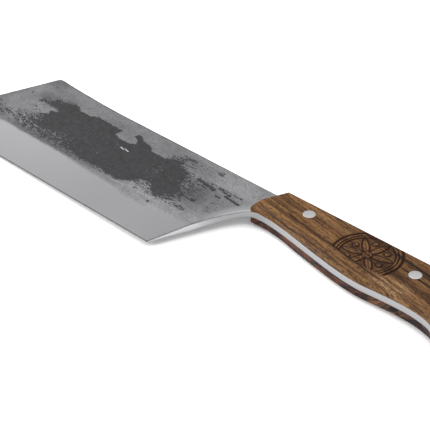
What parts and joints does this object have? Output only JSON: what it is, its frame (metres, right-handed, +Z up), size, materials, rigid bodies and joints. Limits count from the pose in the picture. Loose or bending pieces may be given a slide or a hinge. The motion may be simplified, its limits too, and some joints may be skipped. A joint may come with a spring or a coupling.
{
  "type": "meat cleaver",
  "caption": "Slender full-tang meat cleaver: forge-blackened blade with a wide ground bevel, and riveted wooden scales with a carved rosette.",
  "frame": {"origin": "on the surface that the cleaver lies on, under the middle of its bounding box", "axes": "+X from the tip towards the butt of the handle, +Y from the cutting edge towards the spine, +Z up; the cleaver lies on its plain side, resting on the front of the lower scale and on the front edge of the blade"},
  "size_m": [0.3208, 0.0748, 0.017],
  "materials": {
    "forged_steel": "forge-blackened above a satin ground bevel, with a brushed bright tang edge",
    "walnut": "oiled walnut with dark grain lines",
    "dark_walnut": "oiled walnut, darker board",
    "rivet_steel": "bright, ground flush with the wood"
  },
  "bodies": {
    "root": {"blade_and_tang": "forged_steel", "upper_scale": "walnut", "lower_scale": "dark_walnut", "front_rivet_barrel": "rivet_steel", "front_rivet_post": "rivet_steel", "rear_rivet_barrel": "rivet_steel", "rear_rivet_post": "rivet_steel"}
  },
  "joints": []
}
